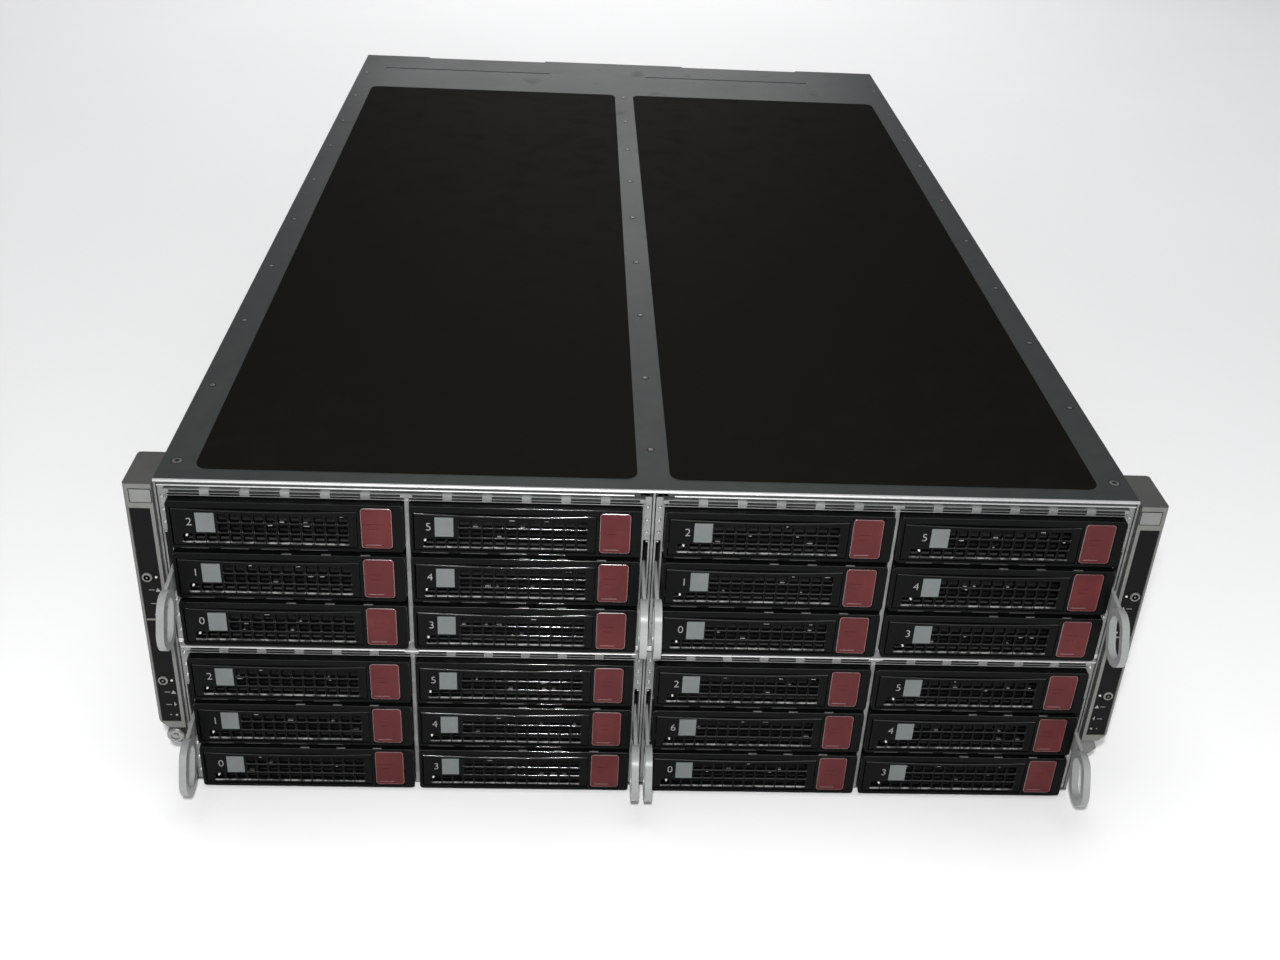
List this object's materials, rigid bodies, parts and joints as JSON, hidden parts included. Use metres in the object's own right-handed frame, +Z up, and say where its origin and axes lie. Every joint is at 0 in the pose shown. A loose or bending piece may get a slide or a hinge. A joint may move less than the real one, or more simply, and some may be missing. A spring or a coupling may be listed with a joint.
{
  "type": "multi-node storage server",
  "caption": "Rack server of half-width sleds with hot-swap drive carriers, red release buttons, ring levers, rack ears with control panels and rear power supplies.",
  "frame": {"origin": "middle of the whole object's footprint, on the underside of the chassis", "axes": "+X to the right seen from the front, +Y to the rear, +Z up"},
  "size_m": [0.4736, 0.789, 0.177],
  "materials": {
    "chassis_steel": "satin",
    "cover_steel": "satin",
    "film_black": "matte",
    "sled_steel": "satin",
    "circuit_board": "satin",
    "ear_silver": "satin",
    "screw_steel": "brushed",
    "carrier_black": "gloss",
    "button_red": "satin",
    "power_button_grey": "satin",
    "lever_grey": "satin",
    "supply_steel": "satin"
  },
  "bodies": {
    "chassis": {"chassis_tub": "chassis_steel", "top_cover": "cover_steel", "cover_films": "film_black", "centre_wall": "sled_steel", "mid_shelves": "sled_steel", "power_bay_frames": "sled_steel", "power_midplanes": "circuit_board", "ear_left": "ear_silver", "ear_right": "ear_silver"},
    "rack_thumbscrew": {"rack_thumbscrew": "screw_steel"},
    "latch_lever": {"latch_lever": "carrier_black"},
    "release_button": {"release_button": "button_red"},
    "power_button_left_upper": {"power_button_left_upper": "power_button_grey"},
    "power_button_left_lower": {"power_button_left_lower": "power_button_grey"},
    "power_button_right_upper": {"power_button_right_upper": "power_button_grey"},
    "power_button_right_lower": {"power_button_right_lower": "power_button_grey"},
    "sled_upper_left": {"sled_tray_upper_left": "sled_steel", "sled_boards_upper_left": "circuit_board"},
    "ring_lever_upper_left_left": {"ring_lever_upper_left_left": "lever_grey"},
    "ring_lever_upper_left_right": {"ring_lever_upper_left_right": "lever_grey"},
    "carrier_upper_left_left_1": {"carrier_upper_left_left_1": "carrier_black"},
    "carrier_upper_left_left_2": {"carrier_upper_left_left_2": "carrier_black"},
    "carrier_upper_left_left_3": {"carrier_upper_left_left_3": "carrier_black"},
    "carrier_upper_left_right_1": {"carrier_upper_left_right_1": "carrier_black"},
    "carrier_upper_left_right_2": {"carrier_upper_left_right_2": "carrier_black"},
    "carrier_upper_left_right_3": {"carrier_upper_left_right_3": "carrier_black"},
    "power_supply_upper_left": {"power_supply_upper_left": "supply_steel"},
    "sled_upper_right": {"sled_tray_upper_right": "sled_steel", "sled_boards_upper_right": "circuit_board"},
    "ring_lever_upper_right_left": {"ring_lever_upper_right_left": "lever_grey"},
    "ring_lever_upper_right_right": {"ring_lever_upper_right_right": "lever_grey"},
    "carrier_upper_right_left_1": {"carrier_upper_right_left_1": "carrier_black"},
    "carrier_upper_right_left_2": {"carrier_upper_right_left_2": "carrier_black"},
    "carrier_upper_right_left_3": {"carrier_upper_right_left_3": "carrier_black"},
    "carrier_upper_right_right_1": {"carrier_upper_right_right_1": "carrier_black"},
    "carrier_upper_right_right_2": {"carrier_upper_right_right_2": "carrier_black"},
    "carrier_upper_right_right_3": {"carrier_upper_right_right_3": "carrier_black"},
    "power_supply_upper_right": {"power_supply_upper_right": "supply_steel"},
    "sled_lower_left": {"sled_tray_lower_left": "sled_steel", "sled_boards_lower_left": "circuit_board"},
    "ring_lever_lower_left_left": {"ring_lever_lower_left_left": "lever_grey"},
    "ring_lever_lower_left_right": {"ring_lever_lower_left_right": "lever_grey"},
    "carrier_lower_left_left_1": {"carrier_lower_left_left_1": "carrier_black"},
    "carrier_lower_left_left_2": {"carrier_lower_left_left_2": "carrier_black"},
    "carrier_lower_left_left_3": {"carrier_lower_left_left_3": "carrier_black"},
    "carrier_lower_left_right_1": {"carrier_lower_left_right_1": "carrier_black"},
    "carrier_lower_left_right_2": {"carrier_lower_left_right_2": "carrier_black"},
    "carrier_lower_left_right_3": {"carrier_lower_left_right_3": "carrier_black"},
    "power_supply_lower_left": {"power_supply_lower_left": "supply_steel"},
    "sled_lower_right": {"sled_tray_lower_right": "sled_steel", "sled_boards_lower_right": "circuit_board"},
    "ring_lever_lower_right_left": {"ring_lever_lower_right_left": "lever_grey"},
    "ring_lever_lower_right_right": {"ring_lever_lower_right_right": "lever_grey"},
    "carrier_lower_right_left_1": {"carrier_lower_right_left_1": "carrier_black"},
    "carrier_lower_right_left_2": {"carrier_lower_right_left_2": "carrier_black"},
    "carrier_lower_right_left_3": {"carrier_lower_right_left_3": "carrier_black"},
    "carrier_lower_right_right_1": {"carrier_lower_right_right_1": "carrier_black"},
    "carrier_lower_right_right_2": {"carrier_lower_right_right_2": "carrier_black"},
    "carrier_lower_right_right_3": {"carrier_lower_right_right_3": "carrier_black"},
    "power_supply_lower_right": {"power_supply_lower_right": "supply_steel"}
  },
  "joints": [
    {"name": "thumbscrew_turn", "type": "hinge", "parent": "chassis", "child": "rack_thumbscrew", "pos_m": [-0.2308, -0.3595, 0.0282], "axis": [0, 1, 0], "continuous": true},
    {"name": "power_button_left_upper_press", "type": "slide", "parent": "chassis", "child": "power_button_left_upper", "axis": [0, 1, 0], "range_m": [0, 0.0015], "stiffness_N_per_m": 400},
    {"name": "power_button_left_lower_press", "type": "slide", "parent": "chassis", "child": "power_button_left_lower", "axis": [0, 1, 0], "range_m": [0, 0.0015], "stiffness_N_per_m": 400},
    {"name": "power_button_right_upper_press", "type": "slide", "parent": "chassis", "child": "power_button_right_upper", "axis": [0, 1, 0], "range_m": [0, 0.0015], "stiffness_N_per_m": 400},
    {"name": "power_button_right_lower_press", "type": "slide", "parent": "chassis", "child": "power_button_right_lower", "axis": [0, 1, 0], "range_m": [0, 0.0015], "stiffness_N_per_m": 400},
    {"name": "sled_upper_left_slide", "type": "slide", "parent": "chassis", "child": "sled_upper_left", "axis": [0, -1, 0], "range_m": [0, 0.745]},
    {"name": "ring_lever_upper_left_left_swing", "type": "hinge", "parent": "sled_upper_left", "child": "ring_lever_upper_left_left", "pos_m": [-0.22045, -0.3565, 0.12505], "axis": [-1, 0, 0], "range_deg": [0, 60]},
    {"name": "ring_lever_upper_left_right_swing", "type": "hinge", "parent": "sled_upper_left", "child": "ring_lever_upper_left_right", "pos_m": [-0.00295, -0.3565, 0.12505], "axis": [-1, 0, 0], "range_deg": [0, 60]},
    {"name": "carrier_upper_left_left_1_slide", "type": "slide", "parent": "sled_upper_left", "child": "carrier_upper_left_left_1", "axis": [0, -1, 0], "range_m": [0, 0.165]},
    {"name": "carrier_upper_left_left_2_slide", "type": "slide", "parent": "sled_upper_left", "child": "carrier_upper_left_left_2", "axis": [0, -1, 0], "range_m": [0, 0.165]},
    {"name": "carrier_upper_left_left_3_slide", "type": "slide", "parent": "sled_upper_left", "child": "carrier_upper_left_left_3", "axis": [0, -1, 0], "range_m": [0, 0.165]},
    {"name": "carrier_upper_left_right_1_slide", "type": "slide", "parent": "sled_upper_left", "child": "carrier_upper_left_right_1", "axis": [0, -1, 0], "range_m": [0, 0.165]},
    {"name": "carrier_upper_left_right_2_slide", "type": "slide", "parent": "sled_upper_left", "child": "carrier_upper_left_right_2", "axis": [0, -1, 0], "range_m": [0, 0.165]},
    {"name": "carrier_upper_left_right_3_slide", "type": "slide", "parent": "sled_upper_left", "child": "carrier_upper_left_right_3", "axis": [0, -1, 0], "range_m": [0, 0.165]},
    {"name": "power_supply_upper_left_slide", "type": "slide", "parent": "chassis", "child": "power_supply_upper_left", "axis": [0, 1, 0], "range_m": [0, 0.225]},
    {"name": "sled_upper_right_slide", "type": "slide", "parent": "chassis", "child": "sled_upper_right", "axis": [0, -1, 0], "range_m": [0, 0.745]},
    {"name": "ring_lever_upper_right_left_swing", "type": "hinge", "parent": "sled_upper_right", "child": "ring_lever_upper_right_left", "pos_m": [0.00295, -0.3565, 0.12505], "axis": [-1, 0, 0], "range_deg": [0, 60]},
    {"name": "ring_lever_upper_right_right_swing", "type": "hinge", "parent": "sled_upper_right", "child": "ring_lever_upper_right_right", "pos_m": [0.22045, -0.3565, 0.12505], "axis": [-1, 0, 0], "range_deg": [0, 60]},
    {"name": "carrier_upper_right_left_1_slide", "type": "slide", "parent": "sled_upper_right", "child": "carrier_upper_right_left_1", "axis": [0, -1, 0], "range_m": [0, 0.165]},
    {"name": "carrier_upper_right_left_2_slide", "type": "slide", "parent": "sled_upper_right", "child": "carrier_upper_right_left_2", "axis": [0, -1, 0], "range_m": [0, 0.165]},
    {"name": "carrier_upper_right_left_3_slide", "type": "slide", "parent": "sled_upper_right", "child": "carrier_upper_right_left_3", "axis": [0, -1, 0], "range_m": [0, 0.165]},
    {"name": "carrier_upper_right_right_1_slide", "type": "slide", "parent": "sled_upper_right", "child": "carrier_upper_right_right_1", "axis": [0, -1, 0], "range_m": [0, 0.165]},
    {"name": "carrier_upper_right_right_2_slide", "type": "slide", "parent": "sled_upper_right", "child": "carrier_upper_right_right_2", "axis": [0, -1, 0], "range_m": [0, 0.165]},
    {"name": "carrier_upper_right_right_3_slide", "type": "slide", "parent": "sled_upper_right", "child": "carrier_upper_right_right_3", "axis": [0, -1, 0], "range_m": [0, 0.165]},
    {"name": "power_supply_upper_right_slide", "type": "slide", "parent": "chassis", "child": "power_supply_upper_right", "axis": [0, 1, 0], "range_m": [0, 0.225]},
    {"name": "sled_lower_left_slide", "type": "slide", "parent": "chassis", "child": "sled_lower_left", "axis": [0, -1, 0], "range_m": [0, 0.745]},
    {"name": "ring_lever_lower_left_left_swing", "type": "hinge", "parent": "sled_lower_left", "child": "ring_lever_lower_left_left", "pos_m": [-0.22045, -0.3565, 0.0374], "axis": [-1, 0, 0], "range_deg": [0, 60]},
    {"name": "ring_lever_lower_left_right_swing", "type": "hinge", "parent": "sled_lower_left", "child": "ring_lever_lower_left_right", "pos_m": [-0.00295, -0.3565, 0.0374], "axis": [-1, 0, 0], "range_deg": [0, 60]},
    {"name": "carrier_lower_left_left_1_slide", "type": "slide", "parent": "sled_lower_left", "child": "carrier_lower_left_left_1", "axis": [0, -1, 0], "range_m": [0, 0.165]},
    {"name": "carrier_lower_left_left_2_slide", "type": "slide", "parent": "sled_lower_left", "child": "carrier_lower_left_left_2", "axis": [0, -1, 0], "range_m": [0, 0.165]},
    {"name": "carrier_lower_left_left_3_slide", "type": "slide", "parent": "sled_lower_left", "child": "carrier_lower_left_left_3", "axis": [0, -1, 0], "range_m": [0, 0.165]},
    {"name": "carrier_lower_left_right_1_slide", "type": "slide", "parent": "sled_lower_left", "child": "carrier_lower_left_right_1", "axis": [0, -1, 0], "range_m": [0, 0.165]},
    {"name": "carrier_lower_left_right_2_slide", "type": "slide", "parent": "sled_lower_left", "child": "carrier_lower_left_right_2", "axis": [0, -1, 0], "range_m": [0, 0.165]},
    {"name": "carrier_lower_left_right_3_slide", "type": "slide", "parent": "sled_lower_left", "child": "carrier_lower_left_right_3", "axis": [0, -1, 0], "range_m": [0, 0.165]},
    {"name": "power_supply_lower_left_slide", "type": "slide", "parent": "chassis", "child": "power_supply_lower_left", "axis": [0, 1, 0], "range_m": [0, 0.225]},
    {"name": "sled_lower_right_slide", "type": "slide", "parent": "chassis", "child": "sled_lower_right", "axis": [0, -1, 0], "range_m": [0, 0.745]},
    {"name": "ring_lever_lower_right_left_swing", "type": "hinge", "parent": "sled_lower_right", "child": "ring_lever_lower_right_left", "pos_m": [0.00295, -0.3565, 0.0374], "axis": [-1, 0, 0], "range_deg": [0, 60]},
    {"name": "ring_lever_lower_right_right_swing", "type": "hinge", "parent": "sled_lower_right", "child": "ring_lever_lower_right_right", "pos_m": [0.22045, -0.3565, 0.0374], "axis": [-1, 0, 0], "range_deg": [0, 60]},
    {"name": "carrier_lower_right_left_1_slide", "type": "slide", "parent": "sled_lower_right", "child": "carrier_lower_right_left_1", "axis": [0, -1, 0], "range_m": [0, 0.165]},
    {"name": "carrier_lower_right_left_2_slide", "type": "slide", "parent": "sled_lower_right", "child": "carrier_lower_right_left_2", "axis": [0, -1, 0], "range_m": [0, 0.165]},
    {"name": "carrier_lower_right_left_3_slide", "type": "slide", "parent": "sled_lower_right", "child": "carrier_lower_right_left_3", "axis": [0, -1, 0], "range_m": [0, 0.165]},
    {"name": "carrier_lower_right_right_1_slide", "type": "slide", "parent": "sled_lower_right", "child": "carrier_lower_right_right_1", "axis": [0, -1, 0], "range_m": [0, 0.165]},
    {"name": "carrier_lower_right_right_2_slide", "type": "slide", "parent": "sled_lower_right", "child": "carrier_lower_right_right_2", "axis": [0, -1, 0], "range_m": [0, 0.165]},
    {"name": "carrier_lower_right_right_3_slide", "type": "slide", "parent": "sled_lower_right", "child": "carrier_lower_right_right_3", "axis": [0, -1, 0], "range_m": [0, 0.165]},
    {"name": "power_supply_lower_right_slide", "type": "slide", "parent": "chassis", "child": "power_supply_lower_right", "axis": [0, 1, 0], "range_m": [0, 0.225]},
    {"name": "latch_lever_swing", "type": "hinge", "parent": "carrier_upper_left_left_3", "child": "latch_lever", "pos_m": [-0.2144, -0.36702, 0.157], "axis": [0, 0, -1], "range_deg": [0, 65]},
    {"name": "release_button_press", "type": "slide", "parent": "carrier_upper_left_left_3", "child": "release_button", "axis": [0, 1, 0], "range_m": [0, 0.002], "stiffness_N_per_m": 500}
  ]
}
